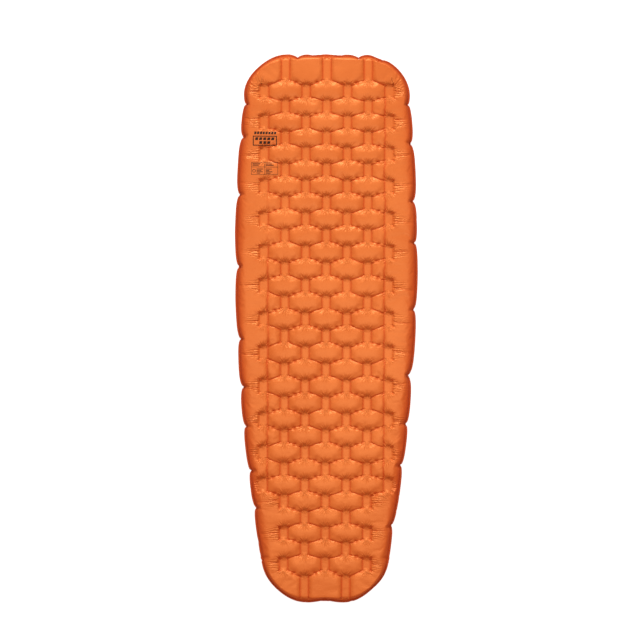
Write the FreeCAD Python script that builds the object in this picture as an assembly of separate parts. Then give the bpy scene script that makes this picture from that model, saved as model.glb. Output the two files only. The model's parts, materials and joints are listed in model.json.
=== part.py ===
import FreeCAD, Part
import math
import os

os.makedirs("parts", exist_ok=True)

# Inflatable sleeping pad, inflated and lying flat.
# Millimetres.  Origin at the centre of the footprint on the floor,
# +Y towards the head end, +Z up to the sleeping side.

# Overall size
LENGTH = 1830.0
WIDTH = 611.0
THICKNESS = 55.0

# Outline: long side arcs, four corner arcs, straight ends
SIDE_RADIUS = 5600.0
WIDEST_Y = 245.0
CORNER_RADIUS = 155.0

# Skins: coated fabric with a welded rim seam at mid height
SKIN = 0.6
SEAM_WIDTH = 7.0
RIM_RADIUS = 26.0

# Quilting: short weld bars, staggered from row to row
COLUMN_PITCH = 69.0
OUTER_COLUMN = 3
BAR_WIDTH = 27.0
BAR_LENGTH = 44.0
END_BAR_LENGTH = 72.0
WELD_DEPTH = 14.0
WELD_TO_EDGE = 30.0

# Rows: thirty evenly spaced ones, slightly closer at both ends,
# and one longer row at each end
INNER_ROWS = 30
ROW_REACH = 788.0
ROW_SHIFT = 1.6
ROW_SQUEEZE = 0.03
END_ROW_Y = 864.0

# Film trusses that tie the two skins together, one under each row
FILM = 0.45

# Flat valve on the underside, near the head end
VALVE_X = -208.0
VALVE_Y = 816.0
RECESS_DEPTH = 8.0
RECESS_RADIUS = 30.0

BASE_FLANGE_RADIUS = 28.0
BASE_FLANGE = 1.2
NECK_RADIUS = 18.0
NECK_BORE = 15.5
NECK_OUTER_Z = 3.9
NECK_INNER_Z = 17.0
NECK_BEAD = 0.8

COLLAR_RADIUS = 20.5
COLLAR_LOW_Z = 5.0
COLLAR_LUG_LOW_Z = 3.95
COLLAR_LUG_HIGH_Z = 6.2
COLLAR_HIGH_Z = 7.6

# Deflate plug: cover disc, plug wall, inflation port and its spider
PLUG_COVER_RADIUS = 19.0
PLUG_COVER_LOW_Z = 2.0
PLUG_COVER_HIGH_Z = 3.6
PLUG_TOP_RADIUS = 14.6
PLUG_END_RADIUS = 13.9
PLUG_WALL = 1.3
PLUG_END_Z = 12.2
PORT_RADIUS = 8.4
PORT_WALL = 1.5
SPIDER = 1.2
SPOKE_WIDTH = 1.8
BOSS_RADIUS = 2.6
STEM_BORE = 1.2
PLUG_RING_Z = 8.0
PLUG_RING_SECTION = 0.9
PLUG_RING_CENTRE = 13.9

# One-way disc on the inner end of the port
DISC_RADIUS = 11.0
DISC = 0.8
DISC_GAP = 0.3
STEM_RADIUS = 0.85
BULB_RADIUS = 1.8
BULB_LOW_Z = 7.0
BULB_HIGH_Z = 8.0

# Inflation cap
CAP_RADIUS = 11.0
CAP_LOW_Z = 0.6
CAP_HIGH_Z = 1.7
CAP_PLUG_TOP_RADIUS = 7.6
CAP_PLUG_END_RADIUS = 7.0
CAP_PLUG_WALL = 1.2
CAP_PLUG_END_Z = 5.8
CAP_RING_Z = 3.6
CAP_RING_SECTION = 0.6
CAP_RING_CENTRE = 7.3

# Hinge straps of the two lids, along X through the valve axis
PLUG_HINGE_REACH = 24.0
PLUG_HINGE_Z = 4.4
CAP_HINGE_REACH = 15.0
CAP_HINGE_Z = 1.2
STRAP_WIDTH = 9.0
CAP_STRAP_WIDTH = 6.0
PLUG_BARREL = 0.9
CAP_BARREL = 0.5
CHEEK_WIDTH = 1.3
CHEEK_LENGTH = 2.6
HINGE_GAP = 0.35
TAB_REACH = 7.0
TAB_WIDTH = 8.0


def save(shape, name):
    """Write one sub-part."""
    shape.exportStep("parts/" + name + ".step")


def vec(x, y, z=0.0):
    """Point or direction."""
    return FreeCAD.Vector(x, y, z)


# Outline --------------------------------------------------------------

SIDE_CENTRE_X = WIDTH / 2 - SIDE_RADIUS
CORNER_Y = LENGTH / 2 - CORNER_RADIUS


def corner_x(corner_y):
    """X of a corner arc centre that is tangent to the side arc."""
    reach = SIDE_RADIUS - CORNER_RADIUS
    return SIDE_CENTRE_X + math.sqrt(reach ** 2 - (corner_y - WIDEST_Y) ** 2)


HEAD_CORNER_X = corner_x(CORNER_Y)
FOOT_CORNER_X = corner_x(-CORNER_Y)


def tangent_point(centre_x, centre_y, inset):
    """Point where the side arc meets a corner arc, with the outline inset."""
    away = vec(centre_x - SIDE_CENTRE_X, centre_y - WIDEST_Y)
    away.normalize()
    return vec(centre_x, centre_y) + away * (CORNER_RADIUS - inset)


def corner_middle(centre_x, centre_y, inset):
    """Middle point of a corner arc."""
    away = vec(centre_x - SIDE_CENTRE_X, centre_y - WIDEST_Y)
    away.normalize()
    away = away + vec(0, math.copysign(1.0, centre_y))
    away.normalize()
    return vec(centre_x, centre_y) + away * (CORNER_RADIUS - inset)


def outline(inset, z):
    """Face bounded by the pad outline moved inwards by inset."""
    end = LENGTH / 2 - inset
    head_side = tangent_point(HEAD_CORNER_X, CORNER_Y, inset)
    foot_side = tangent_point(FOOT_CORNER_X, -CORNER_Y, inset)
    head_mid = corner_middle(HEAD_CORNER_X, CORNER_Y, inset)
    foot_mid = corner_middle(FOOT_CORNER_X, -CORNER_Y, inset)
    head_end = vec(HEAD_CORNER_X, end)
    foot_end = vec(FOOT_CORNER_X, -end)
    widest = vec(WIDTH / 2 - inset, WIDEST_Y)

    def flip(point):
        return vec(-point.x, point.y)

    edges = [
        Part.LineSegment(flip(head_end), head_end).toShape(),
        Part.Arc(head_end, head_mid, head_side).toShape(),
        Part.Arc(head_side, widest, foot_side).toShape(),
        Part.Arc(foot_side, foot_mid, foot_end).toShape(),
        Part.LineSegment(foot_end, flip(foot_end)).toShape(),
        Part.Arc(flip(foot_end), flip(foot_mid), flip(foot_side)).toShape(),
        Part.Arc(flip(foot_side), flip(widest), flip(head_side)).toShape(),
        Part.Arc(flip(head_side), flip(head_mid), flip(head_end)).toShape(),
    ]
    face = Part.Face(Part.Wire(edges))
    face.translate(vec(0, 0, z))
    return face


def edge_distance(x, y):
    """Distance from a point inside the pad to the outline."""
    centre_x = HEAD_CORNER_X if y > 0 else FOOT_CORNER_X
    beyond_x = abs(x) - centre_x
    beyond_y = abs(y) - CORNER_Y
    if beyond_x > 0 and beyond_y > 0:
        return CORNER_RADIUS - math.hypot(beyond_x, beyond_y)
    side = SIDE_RADIUS - math.hypot(abs(x) - SIDE_CENTRE_X, y - WIDEST_Y)
    return min(side, LENGTH / 2 - abs(y))


# Rows of welds ----------------------------------------------------------

def row_y(index):
    """Height of an inner row above the pad centre."""
    half = (INNER_ROWS - 1) / 2
    u = (index - half) / half
    spread = (u - ROW_SQUEEZE * u ** 3) / (1 - ROW_SQUEEZE)
    return ROW_SHIFT - ROW_REACH * spread


def weld_columns(y, odd):
    """X of the welds of a row on the odd or the even columns."""
    places = []
    for column in range(-OUTER_COLUMN, OUTER_COLUMN + 1):
        if column % 2 != (1 if odd else 0):
            continue
        if edge_distance(column * COLUMN_PITCH, y) >= WELD_TO_EDGE:
            places.append(column * COLUMN_PITCH)
    return places


def all_rows():
    """Rows from head to foot: y, bar length, top welds, bottom welds."""
    rows = [(END_ROW_Y, END_BAR_LENGTH, False)]
    for index in range(INNER_ROWS):
        rows.append((row_y(index), BAR_LENGTH, index % 2 == 0))
    rows.append((-END_ROW_Y, END_BAR_LENGTH, True))
    result = []
    for y, length, odd in rows:
        top = weld_columns(y, odd)
        bottom = weld_columns(y, not odd)
        result.append((y, length, top, bottom))
    return result


ROWS = all_rows()


# Skins -------------------------------------------------------------------

def flared_pit(x, y, half_x, half_y, floor_z, top_z):
    """Straight-sided pit that widens upwards at 45 degrees."""
    rise = top_z - floor_z
    corners = []
    for z, grow in ((floor_z, 0.0), (top_z, rise)):
        corners.append([
            vec(x - half_x - grow, y - half_y - grow, z),
            vec(x + half_x + grow, y - half_y - grow, z),
            vec(x + half_x + grow, y + half_y + grow, z),
            vec(x - half_x - grow, y + half_y + grow, z),
        ])
    low, high = corners
    loops = [low, high]
    for i in range(4):
        j = (i + 1) % 4
        loops.append([low[i], low[j], high[j], high[i]])
    faces = [Part.Face(Part.makePolygon(loop + [loop[0]])) for loop in loops]
    return Part.makeSolid(Part.makeShell(faces))


def pillow_body(inset, bottom_z, top_z, rim_radius):
    """Half of the inflated volume, with its upper edge rolled over."""
    height = top_z - bottom_z
    body = outline(inset, bottom_z).extrude(vec(0, 0, height))
    rim = []
    for edge in body.Edges:
        if all(abs(v.Z - top_z) < 1e-6 for v in edge.Vertexes):
            rim.append(edge)
    return body.makeFillet(rim_radius, rim)


def skin(weld_list, with_valve):
    """One skin, facing up: seam flange, rolled rim and quilted top."""
    seam_z = THICKNESS / 2
    flange = outline(0.0, seam_z).extrude(vec(0, 0, SKIN))
    outer = pillow_body(SEAM_WIDTH, seam_z, THICKNESS, RIM_RADIUS)
    outer = outer.fuse(flange)
    inner = pillow_body(
        SEAM_WIDTH + SKIN, seam_z - 5.0, THICKNESS - SKIN, RIM_RADIUS - SKIN)

    # A pit offset by the skin thickness keeps the fabric even.
    floor_z = THICKNESS - WELD_DEPTH
    offset = SKIN * (math.sqrt(2) - 1)
    above = THICKNESS + 1.0
    outer_pits = []
    inner_pits = []
    for x, y, length in weld_list:
        half_x = BAR_WIDTH / 2
        half_y = length / 2
        outer_pits.append(flared_pit(x, y, half_x, half_y, floor_z, above))
        inner_pits.append(flared_pit(
            x, y, half_x + offset, half_y + offset, floor_z - SKIN, above))
    if with_valve:
        axis = vec(VALVE_X, VALVE_Y)
        recess_z = THICKNESS - RECESS_DEPTH
        for pits, drop, grow in ((outer_pits, 0.0, 0.0),
                                 (inner_pits, SKIN, offset)):
            low = recess_z - drop
            radius = RECESS_RADIUS + grow
            pit = Part.makeCone(radius, radius + above - low, above - low)
            pit.translate(axis + vec(0, 0, low))
            pits.append(pit)
    outer = outer.cut(outer_pits)
    inner = inner.cut(inner_pits)
    sheet = outer.cut(inner)
    if with_valve:
        hole = Part.makeCylinder(NECK_RADIUS + 0.2, THICKNESS)
        hole.translate(vec(VALVE_X, VALVE_Y, THICKNESS / 2))
        sheet = sheet.cut(hole)
    return sheet


def upside_down(shape):
    """Mirror a skin about the seam plane."""
    return shape.mirror(vec(0, 0, THICKNESS / 2), vec(0, 0, 1))


top_welds = []
bottom_welds = []
for y, length, top, bottom in ROWS:
    top_welds += [(x, y, length) for x in top]
    bottom_welds += [(x, y, length) for x in bottom]

save(skin(top_welds, False), "top_sheet")
save(upside_down(skin(bottom_welds, True)), "bottom_sheet")


# Film trusses --------------------------------------------------------------

def truss(y, length, top, bottom):
    """Folded film strip: flats under the top welds and on the bottom welds."""
    high = THICKNESS - WELD_DEPTH - SKIN
    low = WELD_DEPTH + SKIN + FILM
    crest = []
    for x in sorted(top + bottom):
        z = high if x in top else low
        crest.append(vec(x - BAR_WIDTH / 2, y - length / 2, z))
        crest.append(vec(x + BAR_WIDTH / 2, y - length / 2, z))
    under = [point - vec(0, 0, FILM) for point in reversed(crest)]
    loop = crest + under
    face = Part.Face(Part.makePolygon(loop + [loop[0]]))
    return face.extrude(vec(0, length, 0))


for number, row in enumerate(ROWS, start=1):
    save(truss(*row), "truss_%02d" % number)


# Valve -----------------------------------------------------------------------

def disc(radius, low_z, high_z, x=0.0):
    """Upright cylinder, on the valve axis unless moved along X."""
    body = Part.makeCylinder(radius, high_z - low_z)
    body.translate(vec(VALVE_X + x, VALVE_Y, low_z))
    return body


def taper(low_radius, high_radius, low_z, high_z):
    """Upright cone frustum on the valve axis."""
    body = Part.makeCone(low_radius, high_radius, high_z - low_z)
    body.translate(vec(VALVE_X, VALVE_Y, low_z))
    return body


def block(low_x, high_x, width, low_z, high_z):
    """Box centred on the valve in Y, with X measured from the valve axis."""
    body = Part.makeBox(high_x - low_x, width, high_z - low_z)
    body.translate(vec(VALVE_X + low_x, VALVE_Y - width / 2, low_z))
    return body


def barrel(radius, width, reach, z):
    """Round web lying along Y."""
    body = Part.makeCylinder(radius, width, vec(0, 0, 0), vec(0, 1, 0))
    body.translate(vec(VALVE_X + reach, VALVE_Y - width / 2, z))
    return body


def ring(centre_radius, section_radius, z):
    """Round-section sealing ring on the valve axis."""
    body = Part.makeTorus(centre_radius, section_radius)
    body.translate(vec(VALVE_X, VALVE_Y, z))
    return body


def valve_base():
    """Flange welded inside the bottom skin, with the neck through it."""
    flange_z = RECESS_DEPTH + SKIN
    body = disc(BASE_FLANGE_RADIUS, flange_z, flange_z + BASE_FLANGE)
    body = body.fuse(disc(NECK_RADIUS, NECK_OUTER_Z, NECK_INNER_Z))
    bead_radius = NECK_RADIUS + NECK_BEAD
    body = body.fuse(disc(bead_radius, NECK_OUTER_Z, NECK_OUTER_Z + NECK_BEAD))
    return body.cut(disc(NECK_BORE, 0.0, THICKNESS)).removeSplitter()


def leash_collar():
    """Ring round the neck with the fixed end of the lid strap."""
    body = disc(COLLAR_RADIUS, COLLAR_LOW_Z, COLLAR_HIGH_Z)
    lug = block(NECK_RADIUS + 1.2, PLUG_HINGE_REACH, STRAP_WIDTH,
                COLLAR_LUG_LOW_Z, COLLAR_LUG_HIGH_Z)
    body = body.fuse(lug)
    body = body.cut(disc(NECK_RADIUS + 0.05, 0.0, THICKNESS))
    clearance = barrel(PLUG_BARREL + HINGE_GAP, STRAP_WIDTH + 4.0,
                       PLUG_HINGE_REACH, PLUG_HINGE_Z)
    return body.cut(clearance).removeSplitter()


def deflate_plug():
    """Wide lid that lets the pad empty, with the inflation port in it."""
    cover = disc(PLUG_COVER_RADIUS, PLUG_COVER_LOW_Z, PLUG_COVER_HIGH_Z)
    wall = taper(PLUG_TOP_RADIUS, PLUG_END_RADIUS,
                 PLUG_COVER_HIGH_Z, PLUG_END_Z)
    hollow = taper(PLUG_TOP_RADIUS - PLUG_WALL, PLUG_END_RADIUS - PLUG_WALL,
                   PLUG_COVER_HIGH_Z, PLUG_END_Z)
    body = cover.fuse(wall.cut(hollow))
    port = disc(PORT_RADIUS + PORT_WALL, PLUG_COVER_LOW_Z, PLUG_END_Z)
    body = body.fuse(port)
    body = body.cut(disc(PORT_RADIUS, 0.0, PLUG_END_Z))
    spider_z = PLUG_END_Z - SPIDER
    spider = disc(BOSS_RADIUS, spider_z, PLUG_END_Z)
    reach = PORT_RADIUS + PORT_WALL / 2
    spoke = block(-reach, reach, SPOKE_WIDTH, spider_z, PLUG_END_Z)
    for turn in (45.0, 135.0):
        arm = spoke.copy()
        arm.rotate(vec(VALVE_X, VALVE_Y), vec(0, 0, 1), turn)
        spider = spider.fuse(arm)
    body = body.fuse(spider)
    body = body.cut(disc(STEM_BORE, 0.0, THICKNESS))
    # Two cheeks, one at each end of the cap strap's web
    cheeks = block(-CAP_HINGE_REACH - CHEEK_LENGTH / 2, -CAP_HINGE_REACH + CHEEK_LENGTH / 2,
                   CAP_STRAP_WIDTH + 2 * HINGE_GAP + 2 * CHEEK_WIDTH,
                   CAP_HINGE_Z - CAP_BARREL, PLUG_COVER_LOW_Z + 0.5)
    between = block(-CAP_HINGE_REACH - CHEEK_LENGTH, -CAP_HINGE_REACH + CHEEK_LENGTH,
                    CAP_STRAP_WIDTH + 2 * HINGE_GAP, 0.0, PLUG_COVER_LOW_Z)
    body = body.fuse(cheeks.cut(between))
    groove = ring(PLUG_RING_CENTRE, PLUG_RING_SECTION, PLUG_RING_Z)
    return body.cut(groove).removeSplitter()


def plug_leash():
    """Strap from the hinge web to the rim of the deflate plug."""
    body = barrel(PLUG_BARREL, STRAP_WIDTH, PLUG_HINGE_REACH, PLUG_HINGE_Z)
    drop = block(PLUG_HINGE_REACH - PLUG_BARREL, PLUG_HINGE_REACH + PLUG_BARREL,
                 STRAP_WIDTH, PLUG_COVER_LOW_Z, PLUG_HINGE_Z)
    strap = block(PLUG_COVER_RADIUS - 1.0, PLUG_HINGE_REACH + PLUG_BARREL,
                  STRAP_WIDTH, PLUG_COVER_LOW_Z, PLUG_COVER_HIGH_Z)
    body = body.fuse(drop)
    body = body.fuse(strap)
    cover = disc(PLUG_COVER_RADIUS, PLUG_COVER_LOW_Z, PLUG_COVER_HIGH_Z)
    return body.cut(cover).removeSplitter()


def one_way_disc():
    """Soft disc on a stem that lets air in and holds it."""
    low_z = PLUG_END_Z + DISC_GAP
    body = disc(DISC_RADIUS, low_z, low_z + DISC)
    body = body.fuse(disc(STEM_RADIUS, BULB_LOW_Z, low_z + DISC / 2))
    return body.fuse(disc(BULB_RADIUS, BULB_LOW_Z, BULB_HIGH_Z)).removeSplitter()


def inflate_cap():
    """Small cap with a plug for the inflation port and a pull tab."""
    body = disc(CAP_RADIUS, CAP_LOW_Z, CAP_HIGH_Z)
    wall = taper(CAP_PLUG_TOP_RADIUS, CAP_PLUG_END_RADIUS,
                 CAP_HIGH_Z, CAP_PLUG_END_Z)
    hollow = taper(CAP_PLUG_TOP_RADIUS - CAP_PLUG_WALL,
                   CAP_PLUG_END_RADIUS - CAP_PLUG_WALL,
                   CAP_HIGH_Z, CAP_PLUG_END_Z)
    body = body.fuse(wall.cut(hollow))
    tab = block(CAP_RADIUS - 2.0, CAP_RADIUS + TAB_REACH - TAB_WIDTH / 2,
                TAB_WIDTH, CAP_LOW_Z, CAP_HIGH_Z)
    tab_end = disc(TAB_WIDTH / 2, CAP_LOW_Z, CAP_HIGH_Z,
                   CAP_RADIUS + TAB_REACH - TAB_WIDTH / 2)
    body = body.fuse(tab)
    body = body.fuse(tab_end)
    groove = ring(CAP_RING_CENTRE, CAP_RING_SECTION, CAP_RING_Z)
    return body.cut(groove).removeSplitter()


def cap_leash():
    """Strap from the hinge web to the rim of the inflation cap."""
    body = barrel(CAP_BARREL, CAP_STRAP_WIDTH, -CAP_HINGE_REACH, CAP_HINGE_Z)
    strap = block(-CAP_HINGE_REACH, -CAP_RADIUS + 1.0, CAP_STRAP_WIDTH,
                  CAP_HINGE_Z - CAP_BARREL, CAP_HIGH_Z)
    body = body.fuse(strap)
    return body.cut(disc(CAP_RADIUS, CAP_LOW_Z, CAP_HIGH_Z)).removeSplitter()


save(valve_base(), "valve_base")
save(leash_collar(), "leash_collar")
save(deflate_plug(), "deflate_plug")
save(ring(PLUG_RING_CENTRE, PLUG_RING_SECTION, PLUG_RING_Z), "plug_o_ring")
save(plug_leash(), "plug_leash")
save(one_way_disc(), "one_way_disc")
save(inflate_cap(), "inflate_cap")
save(ring(CAP_RING_CENTRE, CAP_RING_SECTION, CAP_RING_Z), "cap_o_ring")
save(cap_leash(), "cap_leash")
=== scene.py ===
import json
import math

import bpy
import numpy as np
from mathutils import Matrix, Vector
from mathutils.bvhtree import BVHTree
from mathutils.geometry import delaunay_2d_cdt


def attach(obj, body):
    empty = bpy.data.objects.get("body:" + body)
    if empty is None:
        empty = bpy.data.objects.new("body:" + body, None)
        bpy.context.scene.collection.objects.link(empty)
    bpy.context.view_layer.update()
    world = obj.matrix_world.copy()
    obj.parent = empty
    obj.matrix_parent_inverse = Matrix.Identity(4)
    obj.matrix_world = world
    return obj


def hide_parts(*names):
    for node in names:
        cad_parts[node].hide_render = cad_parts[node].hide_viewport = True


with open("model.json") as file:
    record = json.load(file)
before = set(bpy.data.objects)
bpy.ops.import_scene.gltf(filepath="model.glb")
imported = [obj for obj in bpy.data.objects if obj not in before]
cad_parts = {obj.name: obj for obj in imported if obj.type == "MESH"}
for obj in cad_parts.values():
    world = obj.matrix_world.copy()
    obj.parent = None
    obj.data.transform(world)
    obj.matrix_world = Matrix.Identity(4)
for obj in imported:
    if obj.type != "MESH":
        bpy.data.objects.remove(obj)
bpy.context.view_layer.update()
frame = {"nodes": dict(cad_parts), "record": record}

# Millimetres here and in every function below, until a mesh is made.

LENGTH = 1830.0
WIDTH = 611.0
THICKNESS = 55.0
SEAM_Z = THICKNESS / 2
SIDE_RADIUS = 5600.0
WIDEST_Y = 245.0
CORNER_RADIUS = 155.0
SEAM_WIDTH = 7.0

COLUMN_PITCH = 69.0
OUTER_COLUMN = 3
BAR_HALF = 13.0
BAR_LENGTH = 40.0
END_BAR_LENGTH = 74.0
END_ROW_Y = 864.0
INNER_ROWS = 30
ROW_REACH = 788.0
ROW_SHIFT = 1.6
ROW_SQUEEZE = 0.03
LAST_RAIL_Y = 800.0
WELD_TO_EDGE = 30.0
# A bar this near the outline is the last one before the rim.
LAST_TO_EDGE = 115.0

# Height of the weld bars, the folds between them and the pillows' crowns
BAR_Z = 43.8
CROWN_Z = 53.0
FOLD_RISE = 5.2
FAINT_ABOVE = 250.0
ROLL_END = 14.0
ROLL_SIDE = 31.0
BULGE = 0.075
PILLOW_BULGE = 31.0
# The groove along a fold, the dip off a bar's end, and the width of a crease at the rim
GROOVE = 1.9
FUNNEL = 2.6
CREASE_WIDTH = 3.2

# Mesh spacing before its last subdivision. Pleated cloth and creases have a share of it,
# and each crease has a row of points at each side.
STEP_TOP = 8.4
STEP_BOTTOM = 10.5
STEP_RIM = 7.0
FINE_SHARE = 0.55
LINE_SHARE = 0.7
BESIDE = 2.4
RIM_GAP = SEAM_WIDTH + 4

# Tucks: places where the rim seam is drawn in, as Y along each side and X along each end
TUCK_DEPTH = 9.0
TUCKS_LEFT = (748, 637, 446, 205, -36, -197, -327, -478, -599)
TUCKS_RIGHT = (748, 617, 426, 285, 64, -157, -317, -458, -659)
TUCKS_HEAD = (-98, 104, 174)
TUCKS_FOOT = (0,)
SIDES_END = 790.0
ENDS_START = 860.0
# Corners whose arc is drawn in: side, end, depth
SLACK_CORNERS = ((-1, 1, 4.5), (1, 1, 1.0), (1, -1, 7.0), (-1, -1, 4.0))

SIDE_CENTRE_X = WIDTH / 2 - SIDE_RADIUS
CORNER_Y = LENGTH / 2 - CORNER_RADIUS
# The valve's place, and the flat recess and the hole in the underside
VALVE = (-208.0, 816.0)
VALVE_FLAT = 31.0
VALVE_HOLE = 18.2
VALVE_RECESS = 8.0
# A full turn, near enough for a random phase
ANY_PHASE = 6.28


def corner_x(corner_y):
    """X of a corner arc centre that is tangent to the side arc."""
    reach = SIDE_RADIUS - CORNER_RADIUS
    return SIDE_CENTRE_X + math.sqrt(reach ** 2 - (corner_y - WIDEST_Y) ** 2)


HEAD_X = corner_x(CORNER_Y)
FOOT_X = corner_x(-CORNER_Y)


def edge_distance(x, y):
    """Distance of points inside the pad from its outline."""
    x = np.abs(x)
    beyond_x = x - np.where(y > 0, HEAD_X, FOOT_X)
    beyond_y = np.abs(y) - CORNER_Y
    corner = CORNER_RADIUS - np.hypot(beyond_x, beyond_y)
    side = SIDE_RADIUS - np.hypot(x - SIDE_CENTRE_X, y - WIDEST_Y)
    plain = np.minimum(side, LENGTH / 2 - np.abs(y))
    return np.where((beyond_x > 0) & (beyond_y > 0), corner, plain)


def roll_at(y):
    """Width of the rounded rim at a place along the pad."""
    t = np.clip((850 - np.abs(y)) / 130, 0, 1)
    return ROLL_END + (ROLL_SIDE - ROLL_END) * t * t * (3 - 2 * t)


def row_y(index):
    half = (INNER_ROWS - 1) / 2
    u = (index - half) / half
    spread = (u - ROW_SQUEEZE * u ** 3) / (1 - ROW_SQUEEZE)
    return ROW_SHIFT - ROW_REACH * spread


def layout(flipped):
    """Weld bars (x, y, length, column) and fold lines (start, end, rise) of one skin."""
    plan = [(END_ROW_Y, END_BAR_LENGTH, False)]
    plan += [(row_y(i), BAR_LENGTH, i % 2 == 0) for i in range(INNER_ROWS)]
    plan.append((-END_ROW_Y, END_BAR_LENGTH, True))
    rows = []
    for y, length, odd in plan:
        parity = 1 if odd != flipped else 0
        columns = [c for c in range(-OUTER_COLUMN, OUTER_COLUMN + 1)
                   if c % 2 == parity
                   and edge_distance(c * COLUMN_PITCH, y) >= WELD_TO_EDGE]
        rows.append((y, length, columns))
    bars = []
    folds = []
    for k, (y, length, columns) in enumerate(rows):
        bars += [(c * COLUMN_PITCH, y, length, c) for c in columns]
        if k + 1 < len(rows):
            y2, length2, columns2 = rows[k + 1]
            for c in columns:
                for side in (-1, 1):
                    if c + side in columns2:
                        start = (c * COLUMN_PITCH + side * BAR_HALF, y - length / 2)
                        end = ((c + side) * COLUMN_PITCH - side * BAR_HALF, y2 + length2 / 2)
                        folds.append((start, end, FOLD_RISE))
        if k + 2 < len(rows):
            y2, length2, columns2 = rows[k + 2]
            for side in (-1, 1):
                outer = side * OUTER_COLUMN
                if outer in columns and outer in columns2:
                    x = outer * COLUMN_PITCH - side * BAR_HALF
                    rise = FOLD_RISE + (3.0 if side < 0 and y > FAINT_ABOVE else 1.5)
                    folds.append(((x, y - length / 2), (x, y2 + length2 / 2), rise))
    return bars, folds


def broken_folds(folds, rng):
    """Each fold as one or two slightly offset pieces, the way taut fabric overlaps itself."""
    pieces = []
    for start, end, rise in folds:
        a = np.array(start)
        b = np.array(end)
        along = b - a
        across = np.array([-along[1], along[0]]) / np.hypot(*along)
        if abs(along[0]) < 1:
            shares = np.linspace(0, 1, 6)
            sway = np.r_[0, rng.uniform(-2.6, 2.6, 4), 0]
            pieces.append(([a + along * t + across * w for t, w in zip(shares, sway)], rise))
        elif rng.random() < 0.55:
            gap = rng.uniform(1.8, 3.0) * (1 if along[0] > 0 else -1)
            cut = rng.uniform(0.42, 0.58)
            lap = 0.07
            early = [a, a + along * 0.18 + across * gap * 0.4, a + along * (cut + lap) + across * gap]
            late = [a + along * (cut - lap) - across * gap, a + along * 0.82 - across * gap * 0.4, b]
            pieces += [(early, rise), (late, rise)]
        else:
            bow = rng.uniform(-2.2, 2.2)
            middle = a + along * rng.uniform(0.35, 0.65) + across * bow
            pieces.append(([a, middle, b], rise))
    return pieces


def tuck_depth(x, y):
    """How far the rim is drawn in at a point of the outline."""
    depth = np.zeros(len(x))
    for tucks, side in ((TUCKS_LEFT, -1), (TUCKS_RIGHT, 1)):
        for n, at in enumerate(tucks):
            gap = np.abs(y - at)
            share = 0.7 + 0.3 * ((n * 7) % 4) / 3
            notch = 0.75 * np.exp(-gap / (7 + 2 * (n % 3))) + 0.3 * np.exp(-(gap / 30) ** 2)
            depth += np.where((np.sign(x) == side) & (np.abs(y) < SIDES_END), TUCK_DEPTH * share * notch, 0)
    for at in TUCKS_HEAD:
        gap = np.abs(x - at)
        notch = 0.4 * np.exp(-gap / 7) + 0.55 * np.exp(-(gap / 18) ** 2)
        depth += np.where(y > ENDS_START, TUCK_DEPTH * notch, 0)
    for at in TUCKS_FOOT:
        depth += np.where(y < -ENDS_START, 3.5 * np.exp(-((x - at) / 32) ** 2), 0)
    for side, end, drawn in SLACK_CORNERS:
        beyond_x = side * x - (HEAD_X if end > 0 else FOOT_X)
        beyond_y = end * y - CORNER_Y
        bearing = np.arctan2(beyond_y, beyond_x)
        slack = drawn * np.exp(-((bearing - 0.85) / 0.36) ** 2)
        depth += np.where((beyond_x > 0) & (beyond_y > 0), slack, 0)
    return depth


def outline_loop(inset, count=None, step=None, turn=0.0):
    """Points evenly along the outline moved inwards, clockwise from the middle of the head.
    turn is how far round the rolled rim they are, from the seam to the flat."""
    end = LENGTH / 2 - inset
    head_turn = math.atan2(CORNER_Y - WIDEST_Y, HEAD_X - SIDE_CENTRE_X)
    foot_turn = math.atan2(-CORNER_Y - WIDEST_Y, FOOT_X - SIDE_CENTRE_X)

    def arc(cx, cy, radius, a0, a1):
        m = max(2, int(abs(a1 - a0) * radius))
        a = a0 + (a1 - a0) * np.arange(m + 1) / m
        return np.c_[cx + radius * np.cos(a), cy + radius * np.sin(a)]

    head = np.c_[np.linspace(0, HEAD_X, 200)[:-1], np.full(199, end)]
    foot = np.c_[np.linspace(FOOT_X, 0, 100)[1:], np.full(99, -end)]
    right = np.vstack([
        head,
        arc(HEAD_X, CORNER_Y, CORNER_RADIUS - inset, math.pi / 2, head_turn),
        arc(SIDE_CENTRE_X, WIDEST_Y, SIDE_RADIUS - inset, head_turn, foot_turn)[1:],
        arc(FOOT_X, -CORNER_Y, CORNER_RADIUS - inset, foot_turn, -math.pi / 2)[1:],
        foot])
    left = right[::-1][1:-1] * [-1, 1]
    loop = np.vstack([right, left])
    closed = np.vstack([loop, loop[:1]])
    length = np.r_[0, np.cumsum(np.hypot(*np.diff(closed, axis=0).T))]
    if count is None:
        count = int(round(length[-1] / step))
    t = np.arange(count) * length[-1] / count
    points = np.c_[np.interp(t, length, closed[:, 0]), np.interp(t, length, closed[:, 1])]
    ahead = np.roll(points, -1, 0) - np.roll(points, 1, 0)
    inward = np.c_[ahead[:, 1], -ahead[:, 0]] / np.hypot(*ahead.T)[:, None]
    x, y = points.T
    shift = math.cos(turn) * tuck_depth(x, y) + (1 - math.cos(turn)) * roll_at(y)
    return points + inward * shift[:, None]


def in_pleats(points, bars):
    """Whether points lie where fine pleats are: off the ends of the bars, and outside the
    outermost ones."""
    x, y = points.T
    found = np.zeros(len(points), bool)
    for bx, by, length, column in bars:
        near = np.nonzero((np.abs(x - bx) < 45) & (np.abs(y - by) < length / 2 + 30))[0]
        dx, dy = x[near] - bx, np.abs(y[near] - by) - length / 2
        found[near] |= (dy > -5) & ((dx / 25) ** 2 + (dy / 21) ** 2 < 1)
        if abs(column) >= OUTER_COLUMN - 1 and edge_distance(bx, by) < LAST_TO_EDGE:
            run = math.copysign(1, bx) * dx - BAR_HALF
            found[near] |= (run > -2) & (run < 24) & (dy < 4)
    return found


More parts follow.
